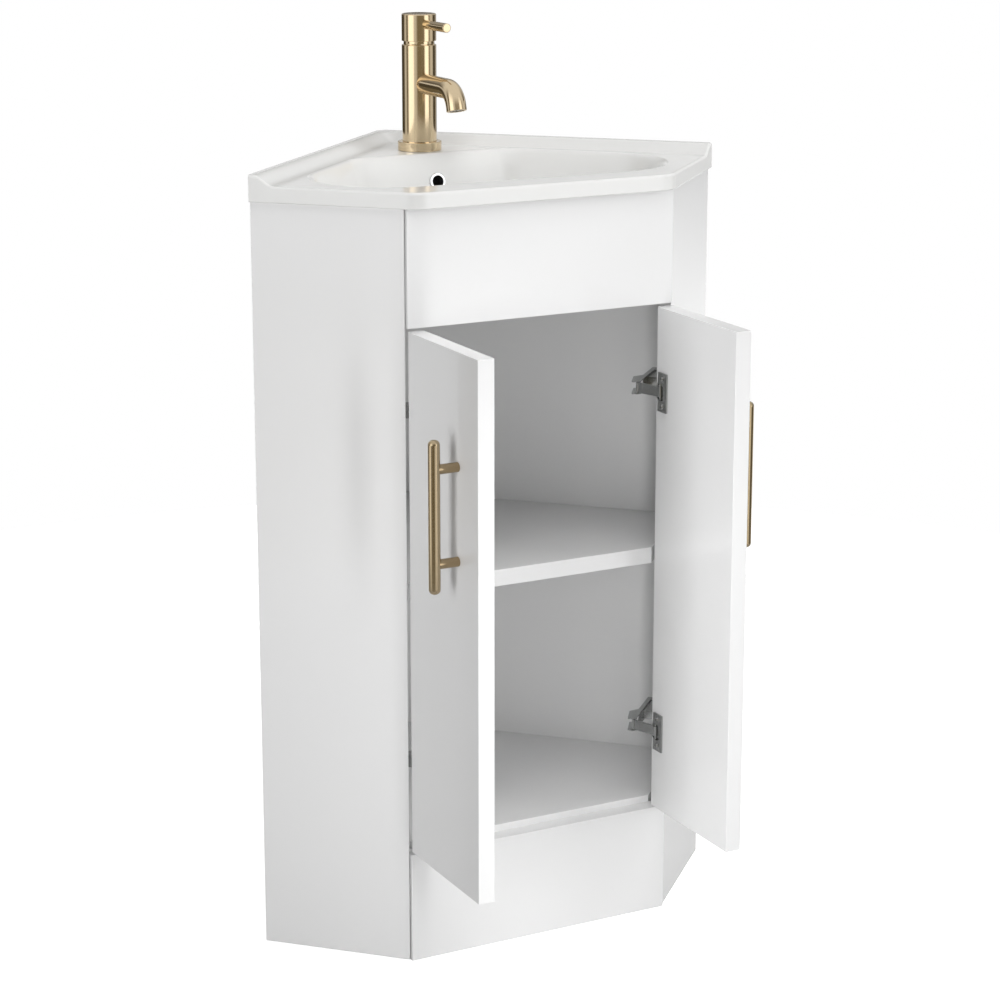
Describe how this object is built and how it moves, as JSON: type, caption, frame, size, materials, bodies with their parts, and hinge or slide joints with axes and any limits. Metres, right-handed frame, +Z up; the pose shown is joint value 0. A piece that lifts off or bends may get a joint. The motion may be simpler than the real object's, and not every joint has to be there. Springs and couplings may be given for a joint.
{
  "type": "corner vanity unit",
  "caption": "Five-sided corner bathroom cabinet with two open doors, a shelf, T-bar handles, a ceramic corner basin with upstand, a single-lever tap and a waste.",
  "frame": {"origin": "the corner of the room at floor level, where the two walls meet behind the cabinet", "axes": "+Z up, +X to the right seen from the front, +Y into the room's corner; the doors stand open towards -Y"},
  "size_m": [0.5498, 0.5467, 0.971],
  "materials": {
    "gloss_white": "white gloss laminate on board",
    "glazed": "white gloss glaze",
    "brushed_brass": "brushed champagne brass",
    "nickel": "satin nickel plate",
    "polished_chrome": "polished",
    "black_rubber": "matte",
    "grey_plastic": "matte"
  },
  "bodies": {
    "carcass": {"left_side_panel": "gloss_white", "right_side_panel": "gloss_white", "left_back_panel": "gloss_white", "right_back_panel": "gloss_white", "floor_panel": "gloss_white", "shelf": "gloss_white", "front_stretcher": "gloss_white", "corner_blocks": "gloss_white", "fascia": "gloss_white", "plinth": "gloss_white", "shelf_pins": "nickel", "left_hinge_arms": "nickel", "right_hinge_arms": "nickel", "left_hinge_plates": "nickel", "right_hinge_plates": "nickel", "left_plate_screws": "nickel", "right_plate_screws": "nickel", "left_arm_screws": "nickel", "right_arm_screws": "nickel", "tap_stud": "nickel", "tap_horseshoe": "nickel", "tap_nut": "nickel", "tap_body": "brushed_brass", "tap_foot_ring": "brushed_brass", "tap_spout": "brushed_brass", "basin": "glazed", "overflow_ring": "polished_chrome", "waste_body": "polished_chrome", "waste_nut": "polished_chrome", "tap_gasket": "black_rubber", "waste_seal": "black_rubber", "tap_aerator": "grey_plastic", "waste_washer": "grey_plastic"},
    "left_door": {"left_door": "gloss_white", "left_handle_bar": "brushed_brass", "left_handle_posts": "brushed_brass", "left_handle_inserts": "nickel", "left_hinge_cups": "nickel", "left_hinge_cup_screws": "nickel", "left_hinge_pins": "nickel"},
    "right_door": {"right_door": "gloss_white", "right_handle_bar": "brushed_brass", "right_handle_posts": "brushed_brass", "right_handle_inserts": "nickel", "right_hinge_cups": "nickel", "right_hinge_cup_screws": "nickel", "right_hinge_pins": "nickel"},
    "left_links": {"left_hinge_links": "nickel"},
    "right_links": {"right_hinge_links": "nickel"},
    "tap_turner": {"tap_cartridge": "grey_plastic"},
    "tap_lever": {"tap_cap": "brushed_brass", "tap_lever_pin": "brushed_brass", "tap_cross_pin": "nickel"},
    "plug": {"waste_plug": "polished_chrome", "waste_plug_seal": "black_rubber"}
  },
  "joints": [
    {"name": "left_door_hinge", "type": "hinge", "parent": "carcass", "child": "left_door", "pos_m": [-0.15456, -0.39361, 0.402], "axis": [0, 0, -1], "range_deg": [-90, 5]},
    {"name": "right_door_hinge", "type": "hinge", "parent": "carcass", "child": "right_door", "pos_m": [0.15456, -0.39361, 0.402], "axis": [0, 0, 1], "range_deg": [-90, 5]},
    {"name": "left_link_pin", "type": "hinge", "parent": "left_door", "child": "left_links", "pos_m": [-0.13656, -0.40161, 0.402], "axis": [0, 0, -1], "range_deg": [-8.5, 143.5]},
    {"name": "right_link_pin", "type": "hinge", "parent": "right_door", "child": "right_links", "pos_m": [0.13656, -0.40161, 0.402], "axis": [0, 0, 1], "range_deg": [-8.5, 143.5]},
    {"name": "tap_temperature", "type": "hinge", "parent": "carcass", "child": "tap_turner", "pos_m": [0, -0.105, 0.92], "axis": [0, 0, 1], "range_deg": [-45, 45]},
    {"name": "tap_flow", "type": "hinge", "parent": "tap_turner", "child": "tap_lever", "pos_m": [0, -0.105, 0.9393], "axis": [-1, 0, 0], "range_deg": [0, 12]},
    {"name": "plug_travel", "type": "slide", "parent": "carcass", "child": "plug", "axis": [0, 0, 1], "range_m": [0, 0.006]}
  ],
  "couplings": [
    {"joint": "left_link_pin", "follows": "left_door_hinge", "ratio": -1.58},
    {"joint": "right_link_pin", "follows": "right_door_hinge", "ratio": -1.58}
  ]
}
